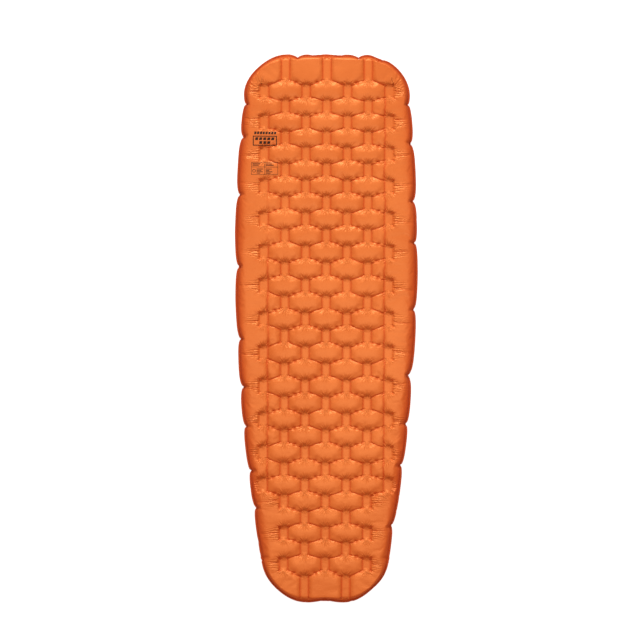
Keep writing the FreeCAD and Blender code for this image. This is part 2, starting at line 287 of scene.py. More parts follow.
def flat_mesh(bars, pieces, step, count):
    """Triangles over the chamber, with points along the rim, the bars and the folds.
    kind is 0 for cloth, 1 for a bar, 2 for a fold. rise is a fold point's height over the bars."""
    rng = np.random.default_rng(11)
    fine = step * FINE_SHARE
    steps = int(round(math.pi / 2 * ROLL_SIDE / STEP_RIM)) + 1
    rings = [outline_loop(SEAM_WIDTH, count, turn=math.pi / 2 * k / steps) for k in range(steps + 1)]
    points = [rings[0]]
    kind = [np.zeros(count)]
    rise = [np.zeros(count)]
    beside = []
    lines = []

    def parts(size):
        return max(2, int(round(size / (LINE_SHARE * step))))

    def add_line(p, q):
        """Remembers a crease and puts a row of points at each side of it."""
        along = q - p
        size = np.hypot(*along)
        across = np.array([-along[1], along[0]]) / size
        m = parts(size)
        t = np.arange(m + 1) / m
        for side in (-BESIDE, BESIDE):
            beside.append(p + along * t[:, None] + across * side)
        lines.append((p, q))

    def off_bars(found, across, along):
        """The points that are clear of every bar, by a margin across it and one along it."""
        for x, y, length, column in bars:
            found = found[(np.abs(found[:, 0] - x) > BAR_HALF + across)
                          | (np.abs(found[:, 1] - y) > length / 2 + along)]
        return found

    half = np.array([0.4 * BAR_HALF, BAR_HALF - BESIDE, BAR_HALF])
    across = np.r_[-half[::-1], 0, half]
    for x, y, length, column in bars:
        gy = np.linspace(y - length / 2, y + length / 2, parts(length) + 1)
        grid = np.array(np.meshgrid(x + across, gy)).reshape(2, -1).T
        grid = grid[edge_distance(*grid.T) > RIM_GAP]
        points.append(grid)
        held = (np.abs(grid[:, 1] - y) < length / 2 - 4) | (np.abs(grid[:, 0] - x) > BAR_HALF - 0.1)
        kind.append(held.astype(float))
        rise.append(np.zeros(len(grid)))
        for edge in (x - BAR_HALF, x + BAR_HALF):
            add_line(np.array([edge, y - length / 2]), np.array([edge, y + length / 2]))
    for path, height in pieces:
        total = sum(np.hypot(*(q - p)) for p, q in zip(path, path[1:]))
        done = 0.0
        for p, q in zip(path, path[1:]):
            size = np.hypot(*(q - p))
            m = parts(size)
            t = np.arange(0 if done else 1, m + (q is path[-1])) / m
            found = p + (q - p) * t[:, None]
            s = (done + t * size) / total
            points.append(found)
            kind.append(np.full(len(found), 2.0))
            rise.append(height * 4 * s * (1 - s))
            add_line(p, q)
            done += size
    beside = np.vstack(beside)
    beside = beside[(gap_to(beside, lines, 10) > 0.7 * BESIDE) & (edge_distance(*beside.T) > RIM_GAP)]
    beside = off_bars(beside, 0, 0)
    grids = []
    for spacing, wanted in ((step, False), (fine, True)):
        height = spacing * math.sqrt(3) / 2
        rows = []
        for j, y in enumerate(np.arange(-LENGTH / 2, LENGTH / 2, height)):
            xs = np.arange(-WIDTH / 2, WIDTH / 2, spacing) + (spacing / 2 if j % 2 else 0)
            rows.append(np.c_[xs, np.full(len(xs), y)])
        lattice = np.vstack(rows)
        lattice += rng.uniform(-0.14, 0.14, lattice.shape) * spacing
        inside = edge_distance(*lattice.T) > SEAM_WIDTH + roll_at(lattice[:, 1]) + 0.5 * spacing
        lattice = lattice[inside & (in_pleats(lattice, bars) == wanted)]
        lattice = off_bars(lattice, 0.45 * spacing, 0.45 * spacing)
        grids.append(lattice[gap_to(lattice, lines, 20) > BESIDE + 0.4 * spacing])
    rim_points = np.vstack(rings[1:])
    rim_points = rim_points[gap_to(rim_points, lines, 20) > BESIDE + 1.5]
    free = np.vstack([beside, off_bars(rim_points, 1, 2)] + grids)
    points.append(free)
    kind.append(np.zeros(len(free)))
    rise.append(np.zeros(len(free)))
    points = np.vstack(points)
    kind = np.concatenate(kind)
    rise = np.concatenate(rise)
    rim = [(i, (i + 1) % count) for i in range(count)]
    found = delaunay_2d_cdt([Vector(p) for p in points.tolist()], rim, [], 1, 1e-4)
    where = np.array(found[0])
    source = np.array([o[0] for o in found[3]])
    faces = np.array(found[2])
    used = np.zeros(len(where), bool)
    used[faces.ravel()] = True
    used[:count] = True
    place = np.cumsum(used) - 1
    return where[used], place[faces], kind[source][used], rise[source][used]


def membrane(points, faces, fixed, value, load, most_steps=1500, close=1e-4):
    """Height of a stretched sheet under an even load, held where fixed. It is found with
    cotangent weights and conjugate gradients."""
    a, b, c = points[faces[:, 0]], points[faces[:, 1]], points[faces[:, 2]]

    def cross(u, v):
        return np.abs(u[:, 0] * v[:, 1] - u[:, 1] * v[:, 0])

    def cotangent(u, v):
        return (u * v).sum(1) / np.maximum(cross(u, v), 1e-9)

    one = faces[:, [1, 2, 0]].T.ravel()
    two = faces[:, [2, 0, 1]].T.ravel()
    cotangents = [cotangent(b - a, c - a), cotangent(c - b, a - b), cotangent(a - c, b - c)]
    weight = np.maximum(0.5 * np.concatenate(cotangents), 0.01)
    count = len(points)
    diagonal = np.bincount(one, weight, count) + np.bincount(two, weight, count)
    area = np.bincount(faces.ravel(), np.repeat(cross(b - a, c - a) / 6, 3), count)

    def apply(x):
        left = diagonal * x - np.bincount(one, weight * x[two], count)
        return left - np.bincount(two, weight * x[one], count)

    free = ~fixed
    known = np.where(fixed, value, 0.0)
    target = (load * area - apply(known)) * free
    x = np.zeros(count)
    residual = target.copy()
    scaled = residual / diagonal
    direction = scaled.copy()
    strength = residual @ scaled
    for _ in range(most_steps):
        step = apply(direction) * free
        size = strength / (direction @ step)
        x += size * direction
        residual -= size * step
        if np.abs(residual).max() < close * np.abs(target).max():
            break
        scaled = residual / diagonal
        new = residual @ scaled
        direction = scaled + new / strength * direction
        strength = new
    return known + x * free


def gap_to(points, segments, reach):
    """Distance from each point to the nearest segment, up to reach."""
    found = np.full(len(points), float(reach))
    by_y = np.argsort(points[:, 1])
    ordered = points[by_y, 1]
    for p, q in segments:
        p, q = np.array(p, float), np.array(q, float)
        along = q - p
        low, high = np.searchsorted(ordered, (min(p[1], q[1]) - reach, max(p[1], q[1]) + reach))
        near = by_y[low:high]
        near = near[np.abs(points[near, 0] - (p[0] + q[0]) / 2) < abs(along[0]) / 2 + reach]
        t = np.clip(((points[near] - p) @ along) / (along @ along), 0, 1)
        gap = np.hypot(*(points[near] - p - t[:, None] * along).T)
        found[near] = np.minimum(found[near], gap)
    return found


def bar_edges(bars):
    """The weld bars' long sides, those that face the rim, and their short ends, as segments."""
    sides = []
    outer = []
    ends = []
    for x, y, length, column in bars:
        for side in (-1, 1):
            edge = x + side * BAR_HALF
            end = y + side * length / 2
            found = outer if column * side == OUTER_COLUMN else sides
            found.append(((edge, y - length / 2), (edge, y + length / 2)))
            ends.append(((x - BAR_HALF + 2, end), (x + BAR_HALF - 2, end)))
    return sides, outer, ends


def skin_shape(flipped, step, count, seed):
    """Quilted skin before simulation, as seen from its outer side: points, faces and kinds,
    then its bars, its creases and the fainter creases."""
    rng = np.random.default_rng(seed)
    bars, folds = layout(flipped)
    pieces = broken_folds(folds, rng)
    flat, faces, kind, rise = flat_mesh(bars, pieces, step, count)
    held = kind > 0
    base = membrane(flat, faces, held, rise, 0.0)
    bulge = membrane(flat, faces, held, np.zeros(len(flat)), BULGE)
    # Beside a fold or a bar's long side the cloth rises steeply, and off a bar's end gently.
    creases, outer, ends = bar_edges(bars)
    for path, height in pieces:
        faint = path[0][0] == path[-1][0] < 0 and path[0][1] > FAINT_ABOVE
        (outer if faint else creases).extend(zip(path, path[1:]))
    to_crease = gap_to(flat, creases + outer, 70)
    to_end = gap_to(flat, ends, 70)
    end_share = to_crease / (to_crease + to_end + 0.1)
    room = 1.14 * (CROWN_Z - BAR_Z - base)
    full = np.maximum(bulge, 0) / PILLOW_BULGE
    lift = full ** (0.9 + 0.3 * end_share ** 2)
    lift = lift / (1 + lift ** 4) ** 0.25
    height = base + room * np.clip(lift, 0, 1)
    tuck = tuck_depth(*flat.T)
    distance = edge_distance(*flat.T) - SEAM_WIDTH - tuck
    rim = np.sqrt(1 - (1 - np.clip(distance / (roll_at(flat[:, 1]) - tuck), 0, 1)) ** 2)
    z = SEAM_Z + (BAR_Z + height - SEAM_Z) * rim
    z[:count] = SEAM_Z
    return np.c_[flat, z], faces, kind, bars, creases, outer


def crease_share(points, creases, outer):
    """1 on a crease and fading beside it. The outer creases are fainter."""
    sharp = np.exp(-gap_to(points[:, :2], creases, 30) / 1.7)
    soft = 0.2 * np.exp(-gap_to(points[:, :2], outer, 30) / 2.6)
    return np.maximum(sharp, soft)


def new_object(name, points, faces):
    """Smooth mesh object from millimetre points and an array of faces."""
    points = np.asarray(points, float)
    faces = np.asarray(faces)
    corners = faces.shape[1]
    mesh = bpy.data.meshes.new(name)
    mesh.vertices.add(len(points))
    mesh.vertices.foreach_set("co", (points / 1000).ravel())
    mesh.loops.add(faces.size)
    mesh.loops.foreach_set("vertex_index", faces.ravel().astype(np.int32))
    mesh.polygons.add(len(faces))
    mesh.polygons.foreach_set("loop_start", np.arange(0, faces.size, corners, dtype=np.int32))
    mesh.update(calc_edges=True)
    mesh.shade_smooth()
    thing = bpy.data.objects.new(name, mesh)
    bpy.context.scene.collection.objects.link(thing)
    return thing


def inflate(points, faces, pinned, frames=12):
    """Blows up the closed envelope as cloth, held at the pinned points. Returns its points."""
    thing = new_object("envelope", points, faces)
    group = thing.vertex_groups.new(name="welds")
    group.add(np.nonzero(pinned)[0].tolist(), 1.0, "ADD")
    cloth = thing.modifiers.new("cloth", "CLOTH")
    settings = cloth.settings
    settings.quality = 5
    settings.mass = 0.3
    settings.tension_stiffness = 30
    settings.compression_stiffness = 30
    settings.shear_stiffness = 10
    settings.bending_stiffness = 1.5
    settings.use_pressure = True
    settings.uniform_pressure_force = 3.0
    settings.shrink_min = -0.010
    settings.shrink_max = -0.010
    settings.vertex_group_mass = "welds"
    settings.effector_weights.gravity = 0
    cloth.collision_settings.use_collision = False
    scene = bpy.context.scene
    for span in (scene, cloth.point_cache):
        span.frame_start = 1
        span.frame_end = frames
    for number in range(1, frames + 1):
        scene.frame_set(number)
    evaluated = thing.evaluated_get(bpy.context.evaluated_depsgraph_get())
    found = np.zeros(points.size)
    evaluated.to_mesh().vertices.foreach_get("co", found)
    mesh = thing.data
    bpy.data.objects.remove(thing)
    bpy.data.meshes.remove(mesh)
    scene.frame_set(1)
    return found.reshape(-1, 3) * 1000


def sums(index, values, count):
    """For each of count places, the sum of the rows of values whose index it is."""
    return np.stack([np.bincount(index, values[:, axis], count) for axis in range(3)], axis=1)


def loop_subdivide(points, faces, count, sharp):
    """One step of Loop subdivision. The first count points are the rim, in order, and their
    2 * count come first again; sharp points and the lines between them keep their crease."""
    number = len(points)
    pairs = np.vstack([faces[:, [0, 1]], faces[:, [1, 2]], faces[:, [2, 0]]])
    opposite = np.concatenate([faces[:, 2], faces[:, 0], faces[:, 1]])
    ordered = np.sort(pairs, axis=1)
    key = ordered[:, 0] * number + ordered[:, 1]
    unique, inverse, uses = np.unique(key, return_inverse=True, return_counts=True)
    first = unique // number
    second = unique % number
    far = sums(inverse, points[opposite], len(unique))
    middle = (points[first] + points[second]) / 2
    smooth = 0.375 * (points[first] + points[second]) + 0.125 * far
    stiff = (uses < 2) | (sharp[first] & sharp[second])
    edge_points = np.where(stiff[:, None], middle, smooth)
    degree = np.bincount(np.r_[first, second], minlength=number)
    around = sums(first, points[second], number) + sums(second, points[first], number)
    beta = 0.375 / np.maximum(degree, 1)
    moved = points * (1 - degree * beta)[:, None] + around * beta[:, None]
    held = sharp.copy()
    held[:count] = True
    moved[held] = points[held]
    at = inverse + number
    ab, bc, ca = at[:len(faces)], at[len(faces):2 * len(faces)], at[2 * len(faces):]
    a, b, c = faces.T
    fine = np.vstack([np.c_[a, ab, ca], np.c_[ab, b, bc], np.c_[ca, bc, c], np.c_[ab, bc, ca]])
    result = np.vstack([moved, edge_points])
    # The rim's new points go between its old ones.
    rim_key = {int(k): i for i, k in enumerate(unique)}
    order = []
    for i in range(count):
        j = (i + 1) % count
        low, high = min(i, j), max(i, j)
        order += [i, number + rim_key[low * number + high]]
    rest = np.ones(len(result), bool)
    rest[order] = False
    order = np.r_[order, np.nonzero(rest)[0]]
    place = np.empty(len(result), int)
    place[order] = np.arange(len(result))
    return result[order], place[fine]


def vertex_normals(points, faces):
    a, b, c = points[faces[:, 0]], points[faces[:, 1]], points[faces[:, 2]]
    face = np.cross(b - a, c - a)
    normal = sum(sums(corner, face, len(points)) for corner in faces.T)
    return normal / np.maximum(np.linalg.norm(normal, axis=1), 1e-12)[:, None]


class Puckers:
    """Fine folds of one skin. offset is how far each point moves outwards. phase and depth
    are those of the finer folds, which the material draws, and the painted shade is how much
    the material darkens the cloth in the creases of the larger folds, where shade falls. With
    less strength, folds are shallower, wider and fainter, which suits a coarser mesh."""

    def __init__(self, points, bars, seed, strength):
        self.pick = np.random.default_rng(seed).uniform
        self.x, self.y = points[:, 0], points[:, 1]
        self.inside = edge_distance(self.x, self.y) - SEAM_WIDTH
        self.offset, self.phase, self.depth, self.painted_shade = np.zeros((4, len(points)))
        self.crease_width = CREASE_WIDTH / strength ** 2
        for x, y, length, column in bars:
            for end in (-1, 1):
                self.bar_end(x, y + end * (length / 2 - 3), end)
        for x, y, length, column in bars:
            if edge_distance(x, y) <= LAST_TO_EDGE and abs(y) <= LAST_RAIL_Y:
                self.rail(x, y, length)
        for x, y, length, column in bars:
            if abs(column) >= OUTER_COLUMN and abs(y) >= 0.98 * ROW_REACH - ROW_SHIFT:
                self.corner(x, y)
        self.tucks()
        self.unevenness()
        fade = np.clip(self.inside / 6, 0, 1)
        self.offset *= strength * fade
        self.depth *= fade
        self.painted_shade *= strength ** 3

    def set_fine(self, near, depth, phase):
        """Gives the material's folds a phase and a depth, where they are deeper than before."""
        index = np.nonzero(near)[0]
        better = depth > self.depth[index]
        self.phase[index[better]] = phase[better]
        self.depth[index[better]] = depth[better]

    # Painted shade: points in a crease are drawn darker, where shade falls.
    def paint_shade(self, near, share):
        self.painted_shade[near] = np.maximum(self.painted_shade[near], share)

    def bar_end(self, bx, cy, end):
        """Pleats that fan out from one end of a weld bar."""
        pick = self.pick
        count = pick(8, 11)
        phase = pick(0, 2 * math.pi)
        size = pick(0.6, 1.05)
        near = (np.abs(self.x - bx) < 40) & (np.abs(self.y - cy) < 40) & (end * (self.y - cy) > 0)
        dx = self.x[near] - bx
        dy = end * (self.y[near] - cy)
        radius = np.hypot(dx, dy)
        turn = np.arctan2(dx, dy)
        fan = np.cos(np.clip(turn, -1.5, 1.5)) ** 0.35
        rise = np.clip((radius - 3) / 8, 0, 1) * np.exp(-(np.maximum(radius - 14, 0) / 10) ** 2)
        wave = 1.7 * np.abs(np.sin(0.5 * count * turn + phase))
        wave += 0.7 * np.abs(np.sin(1.1 * count * turn)) - 1.4
        self.offset[near] += size * rise * wave * fan - FUNNEL * fan * radius / 7 * np.exp(1 - radius / 7)
        fine = 0.9 * np.clip((radius - 3) / 5, 0, 1)
        fine = fine * np.exp(-(np.maximum(radius - 15, 0) / 10) ** 2) * fan
        self.set_fine(near, fine, pick(17, 22) * turn)

    def rail(self, bx, by, length):
        """A bunch of folds that runs from an outermost bar to the rim."""
        pick = self.pick
        side = math.copysign(1, bx)
        start = abs(bx) + BAR_HALF
        near = (side * self.x > start - 2) & (np.abs(self.y - by) < 48)
        y = self.y[near]
        run = side * self.x[near] - start
        left = self.inside[near]
        off_rim = np.clip(left / 10, 0, 1)
        share = run / np.maximum(run + left, 1)
        fade = np.clip(run / 4, 0, 1) * off_rim
        bunch = np.exp(-(np.maximum(run - 24, 0) / 28) ** 2)
        v = (y - by) / (0.5 * length)
        climb = np.maximum(run, 0) / 9
        self.offset[near] -= FUNNEL * climb * np.exp(1 - climb) * np.exp(-(v / 1.15) ** 4) * off_rim
        v = (v - pick(-0.25, 0.25) * share) * (1 + 0.5 * share)
        phase = pick(0, 2 * math.pi)
        wave = 1.8 * np.abs(np.sin(math.pi * pick(2.0, 2.6) * v + phase))
        wave = wave - 1.1 + 0.4 * np.cos(22 * v)
        size = pick(0.8, 1.3)
        self.offset[near] += size * fade * bunch * wave * np.exp(-(v / 1.05) ** 4)
        deep = pick(1.8, 3.4)
        line = by + pick(-10, 10) + pick(-0.14, 0.14) * run
        reach = pick(0.7, 1.1)
        crease = np.exp(-np.abs(y - line) / self.crease_width) * fade * np.clip((reach - share) / 0.3, 0, 1)
        self.offset[near] -= deep * crease
        # Painted shade along the rail's crease.
        self.paint_shade(near, 0.6 * crease ** 2)
        fine = 0.8 * fade * np.exp(-(v / 1.1) ** 4) * bunch
        self.set_fine(near, fine, 2 * math.pi * pick(2.1, 2.8) * v)
        # The pillows above and below end in short slanting folds too.
        for end in (-1, 1):
            ahead = end * (y - by) - length / 2
            slope = pick(0.35, 0.6)
            stroke = np.exp(-np.abs(ahead - slope * run) / 2.2) * np.clip(1.25 - run / 24, 0, 1) * (run > -1)
            self.offset[near] -= 1.3 * stroke * off_rim
            # Painted shade along the slanting fold.
            self.paint_shade(near, 0.35 * stroke * off_rim)

    def corner(self, bx, by):
        """Wrinkles that fan out from an outermost bar to the corner of the pad."""
        pick = self.pick
        near = (np.abs(self.x - bx) < 110) & (np.abs(self.y - by) < 110)
        near &= (self.x * bx > 0) & (self.y * by > 0)
        dx = np.abs(self.x[near]) - abs(bx) - 4
        dy = np.abs(self.y[near]) - abs(by)
        radius = np.hypot(dx, dy)
        turn = np.arctan2(dy, dx)
        sector = np.exp(-((turn - 0.8) / 0.62) ** 4)
        reach = np.clip((radius - 16) / 9, 0, 1) * np.clip(self.inside[near] / 16, 0, 1)
        reach = reach * np.exp(-(np.maximum(radius - 46, 0) / 28) ** 2) * (1 if by > 0 else 0.5)
        lines = np.abs(np.sin(pick(10, 12) * turn + pick(0, ANY_PHASE)))
        self.offset[near] += pick(1.5, 2.1) * sector * reach * (1.6 * lines - 1.1)
        self.set_fine(near, sector * reach, 29 * turn)

    def tucks(self):
        """Folds that start at the tucks of the rim."""
        for tucks, side in ((TUCKS_LEFT, -1), (TUCKS_RIGHT, 1)):
            for n, at in enumerate(tucks):
                near = (side * self.x > 0) & (np.abs(self.y - at) < 40) & (self.inside < 80)
                inside = self.inside[near]
                line = at + (0.25 if n % 2 else -0.2) * inside
                deep = np.exp(-np.abs(self.y[near] - line) / self.crease_width) * np.exp(-inside / 26)
                self.offset[near] -= 3.0 * deep
                # Painted shade in the fold from the tuck.
                self.paint_shade(near, 0.7 * deep)
        for tucks, end in ((TUCKS_HEAD, 1), (TUCKS_FOOT, -1)):
            for at in tucks:
                near = (end * self.y > 0) & (np.abs(self.x - at) < 40) & (self.inside < 60)
                deep = np.exp(-np.abs(self.x[near] - at) / 3.4) * np.exp(-self.inside[near] / 22)
                self.offset[near] -= 2.0 * deep

    def unevenness(self):
        """Slight waves all over."""
        pick = self.pick
        for _ in range(16):
            turn = pick(0, math.pi)
            wave = pick(14, 46)
            along = (self.x * math.cos(turn) + self.y * math.sin(turn)) * 2 * math.pi / wave
            drift = np.sin(0.021 * self.x + 0.013 * self.y * (1 + turn))
            self.offset += 0.05 * np.sin(along + pick(0, ANY_PHASE)) * (0.5 + 0.5 * drift)


# Envelope ---

rim_count = len(outline_loop(SEAM_WIDTH, step=STEP_RIM))
top_points, top_faces, top_kind, *top_lines = skin_shape(False, STEP_TOP, rim_count, 5)
low_points, low_faces, low_kind, *low_lines = skin_shape(True, STEP_BOTTOM, rim_count, 9)
low_points[:, 2] = THICKNESS - low_points[:, 2]
low_faces = low_faces[:, ::-1]


def from_valve(points):
    return np.hypot(points[:, 0] - VALVE[0], points[:, 1] - VALVE[1])


top_count = len(top_points)
joined = np.vstack([top_points, low_points[rim_count:]])
low_index = np.r_[np.arange(rim_count), np.arange(rim_count, len(low_points)) + top_count - rim_count]
all_faces = np.vstack([top_faces, low_index[low_faces]])
low_pinned = (low_kind > 0) | (from_valve(low_points) < VALVE_FLAT + 2)
pinned = np.r_[top_kind > 0, low_pinned[rim_count:]]

joined = inflate(joined, all_faces, pinned)

top_points = joined[:top_count]
low_points = joined[low_index]


def quilted(points, faces, kind, lines, seed, strength):
    """Skin after the simulation with its fine folds: points, faces, then the painted shade in its
    creases and larger folds, and the phase and depth of the finer folds, for the material."""
    bars, creases, outer = lines
    points, faces = loop_subdivide(points, faces, rim_count, kind == 2)
    fine = Puckers(points, bars, seed, strength)
    groove = crease_share(points, creases, outer)
    points += vertex_normals(points, faces) * (fine.offset - GROOVE * groove)[:, None]
    # Painted shade: creases and larger folds get a darker colour, where shade falls in them.
    return points, faces, (np.maximum(0.75 * groove, fine.painted_shade), fine.phase, fine.depth)


def kept_under(z, limit=THICKNESS - 0.2, softness=5):
    """Keeps heights under a limit, gently."""
    start = limit - softness
    over = np.maximum(z - start, 0)
    return np.where(z > start, start + softness * np.tanh(over / softness), z)


top_points, top_faces, top_looks = quilted(top_points, top_faces, top_kind, top_lines, 21, 1.0)
low_points, low_faces, low_looks = quilted(low_points, low_faces, low_kind, low_lines, 22, 0.7)
rim_count *= 2
top_points[:, 2] = kept_under(top_points[:, 2])
low_points[:, 2] = THICKNESS - kept_under(THICKNESS - low_points[:, 2])

# The underside round the valve is a flat recess, as the valve's flange is welded there.
# Its hole fits round the valve's neck.
radius = from_valve(low_points)
slope = np.clip(VALVE_RECESS - (radius - VALVE_FLAT) * 0.9, 0, VALVE_RECESS)
low_points[:, 2] = np.maximum(low_points[:, 2], slope)
low_points[radius < VALVE_FLAT, 2] = VALVE_RECESS
low_faces = low_faces[(radius[low_faces] >= VALVE_HOLE).any(1)]
in_hole = radius < VALVE_HOLE
outwards = VALVE_HOLE / np.maximum(radius[in_hole], 0.1)
low_points[in_hole, :2] = VALVE + (low_points[in_hole, :2] - VALVE) * outwards[:, None]

# The seam stays a little outside the bars at both ends.
rim_mean = (top_points[:rim_count] + low_points[:rim_count]) / 2
for x, y, length, column in top_lines[0] + low_lines[0]:
    if length == END_BAR_LENGTH:
        beyond = abs(y) + length / 2 + 2.5 - 0.4 * np.maximum(np.abs(rim_mean[:, 0] - x) - BAR_HALF, 0)
        near = (np.abs(rim_mean[:, 0] - x) < 45) & (rim_mean[:, 1] * y > 0)
        kept_out = math.copysign(1, y) * np.maximum(np.abs(rim_mean[:, 1]), beyond)
        rim_mean[:, 1] = np.where(near, kept_out, rim_mean[:, 1])
top_points[:rim_count] = rim_mean
low_points[:rim_count] = rim_mean

TRUSS_HALF = 13.5
TRUSS_TOP = 41.4


def over_trusses(points, bars):
    """Least height of the skin, so the trusses under the bars stay inside where the rim rolls."""
    least = np.zeros(len(points))
    for x, y, length, column in bars:
        near = np.nonzero((np.abs(points[:, 0] - x) < 40) & (np.abs(points[:, 1] - y) < 50))[0]
        dx = np.maximum(np.abs(points[near, 0] - x) - TRUSS_HALF, 0)
        dy = np.maximum(np.abs(points[near, 1] - y) - length / 2, 0)
        least[near] = np.maximum(least[near], TRUSS_TOP - 1.6 * dx - 3.0 * dy)
    return least


top_least = over_trusses(top_points[rim_count:], top_lines[0])
low_most = THICKNESS - over_trusses(low_points[rim_count:], low_lines[0])
top_points[rim_count:, 2] = np.maximum(top_points[rim_count:, 2], top_least)
low_points[rim_count:, 2] = np.minimum(low_points[rim_count:, 2], low_most)

top_skin = new_object("top_skin", top_points, top_faces)
low_skin = new_object("bottom_skin", low_points, low_faces)


def set_attribute(thing, name, values):
    data = thing.data.attributes.new(name, "FLOAT", "POINT").data
    data.foreach_set("value", values.astype(np.float32))


for skin, node, slot_name, points, looks in (
        (top_skin, "top_sheet", "top_fabric", top_points, top_looks),
        (low_skin, "bottom_sheet", "bottom_fabric", low_points, low_looks)):
    dark, phase, depth = looks
    inside = np.maximum(edge_distance(points[:, 0], points[:, 1]) - SEAM_WIDTH, 0)
    # Painted shade: the cloth is drawn darker near the rim, where it rolls away from the light, and less so
    # towards the foot.
    off_foot = np.clip((points[:, 1] + 880) / 260, 0, 1)
    rim_painted_shade = (0.35 + 0.5 * off_foot) * np.exp(-(inside / (0.58 * roll_at(points[:, 1]))) ** 1.3)
    # The fold attribute holds painted shade, in the creases and along the rim.
    set_attribute(skin, "fold", np.maximum(dark, rim_painted_shade))
    set_attribute(skin, "pleat_phase", phase)
    set_attribute(skin, "pleat_depth", depth)
    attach(skin, "pad")
    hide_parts(node)

# Rim seam: both skins welded together in a narrow fin ---

ahead = np.roll(rim_mean, -3, 0) - np.roll(rim_mean, 3, 0)
outward = np.c_[-ahead[:, 1], ahead[:, 0], np.zeros(rim_count)]
outward /= np.linalg.norm(outward, axis=1)[:, None]
rng = np.random.default_rng(3)
arc_length = np.r_[0, np.cumsum(np.linalg.norm(np.diff(rim_mean, axis=0), axis=1))]
around = arc_length / (arc_length[-1] + np.linalg.norm(rim_mean[-1] - rim_mean[0])) * 2 * math.pi
sway = sum(rng.uniform(0.1, 0.4) * np.sin(waves * around + rng.uniform(0, ANY_PHASE))
           for waves in (37, 61, 88, 127, 173))
# Half section of the fin: distance outwards and half thickness
profile = ((-1.5, 0.5), (1.2, 0.5), (1.7, 0.3), (4.6, 0.3), (5.1, 0.45), (6.4, 0.4))
section = list(profile) + [(out, -half) for out, half in reversed(profile)]
rings = []
for out, half in section:
    ring = rim_mean + outward * out
    ring[:, 2] += half + sway * max(out, 0) / profile[-1][0]
    rings.append(ring)
i = np.arange(rim_count)
j = (i + 1) % rim_count
starts = rim_count * np.arange(len(section))
fin_faces = np.vstack([np.c_[s + i, s + j, t + j, t + i] for s, t in zip(starts, np.roll(starts, -1))])
fin = new_object("rim_seam", np.vstack(rings), fin_faces)
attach(fin, "pad")

# Printed marks near the head: slanted blocks over a box of more of them, then a small
# chart with dashes and a ring. Nothing on it can be read. ---

INK_STEP = 2.5
INK_RISE = 0.15
# Left, top, width and height of each box
EMBLEM = (-246.0, 641.0, 80.0, 33.0)
CHART = (-251.0, 553.0, 89.0, 42.0)
skin_tree = BVHTree.FromPolygons(top_points.tolist(), top_faces.tolist())
ink_points = []
ink_faces = []


def ink_patch(corner, along, across):
    """Lays a parallelogram of ink on the skin, from a corner and its two sides."""
    corner, along, across = (np.array(v, float) for v in (corner, along, across))
    n = max(1, int(math.ceil(np.hypot(*along) / INK_STEP)))
    m = max(1, int(math.ceil(np.hypot(*across) / INK_STEP)))
    first = len(ink_points)
    for i in range(n + 1):
        for j in range(m + 1):
            x, y = corner + along * i / n + across * j / m
            hit = skin_tree.ray_cast(Vector((x, y, 100)), Vector((0, 0, -1)))
            ink_points.append((x, y, hit[0].z + INK_RISE))
    for i in range(n):
        for j in range(m):
            a = first + i * (m + 1) + j
            ink_faces.append((a, a + m + 1, a + m + 2, a + 1))


def ink_frame(left, top, width, height, line):
    """Outline of a box."""
    for y in (top - line, top - height):
        ink_patch((left, y), (width, 0), (0, line))
    for x in (left, left + width - line):
        ink_patch((x, top - height + line), (line, 0), (0, height - 2 * line))


left, top, width, height = EMBLEM
for n in range(8):
    ink_patch((left + 4 + 9.4 * n, top + 5), (7.0, 0), (1.6, 9))
ink_frame(left, top, width, height, 3.0)
for row, blocks in enumerate((5, 3)):
    for n in range(blocks):
        x0 = left + 0.5 * width + 13.4 * (n - 0.5 * blocks) + 0.6
        ink_patch((x0, top - 14.5 - 12.5 * row), (9.6, 0), (1.8, 9))
left, top, width, height = CHART
ink_frame(left, top, width, height, 1.2)
ink_patch((left + 0.5 * width, top - height + 1.4), (1.4, 0), (0, height - 2.8))
ink_patch((left + 1.4, top - 0.40 * height), (width - 2.8, 0), (0, 1.4))
DASH_PITCH = 4.6
for row in range(2):
    for half in range(2):
        x0 = left + 4 + half * 0.5 * width
        ink_patch((x0, top - 7 - row * DASH_PITCH), (26 - 5 * ((row + half) % 2), 0), (0, 2.6))
for row in range(4):
    for half in range(2):
        x0 = left + (4 if half else 18) + half * 0.5 * width
        dash = (22, 16, 20, 12)[(row + 2 * half) % 4]
        ink_patch((x0, top - 24 - row * DASH_PITCH), (dash, 0), (0, 2.3))
centre = np.array([left + 9.5, top - 29.0])
ring = [centre + 5.6 * np.array([math.cos(a), math.sin(a)]) for a in math.pi / 6 * np.arange(13)]
for p, q in zip(ring, ring[1:]):
    ink_patch(p, q - p, (centre - p) * 0.3)
marks = new_object("printed_marks", ink_points, np.array(ink_faces))
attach(marks, "pad")

# Materials ---


def material(name):
    made = bpy.data.materials.new(name)
    made.use_nodes = True
    tree = made.node_tree
    shader = tree.nodes["Principled BSDF"]
    return made, tree, shader


def link(source, socket):
    socket.id_data.links.new(source, socket)


def put(made, values):
    """Sets a node's inputs by their names."""
    for name, value in values.items():
        made.inputs[name].default_value = value


def add_node(tree, kind, **values):
    made = tree.nodes.new("ShaderNode" + kind)
    for key, value in values.items():
        if key in made.inputs:
            made.inputs[key].default_value = value
        else:
            setattr(made, key, value)
    return made


def noise(tree, **values):
    """Noise over the object's own coordinates."""
    place = add_node(tree, "TexCoord")
    made = add_node(tree, "TexNoise", **values)
    link(place.outputs["Object"], made.inputs["Vector"])
    return made.outputs["Fac"]


def ramp(tree, factor, *stops):
    """Colour that goes through stops of position and colour."""
    made = add_node(tree, "ValToRGB")
    elements = made.color_ramp.elements
    for element, (position, colour) in zip(elements, (stops[0], stops[-1])):
        element.position = position
        element.color = (*colour, 1)
    for position, colour in stops[1:-1]:
        elements.new(position).color = (*colour, 1)
    link(factor, made.inputs["Fac"])
    return made.outputs["Color"]


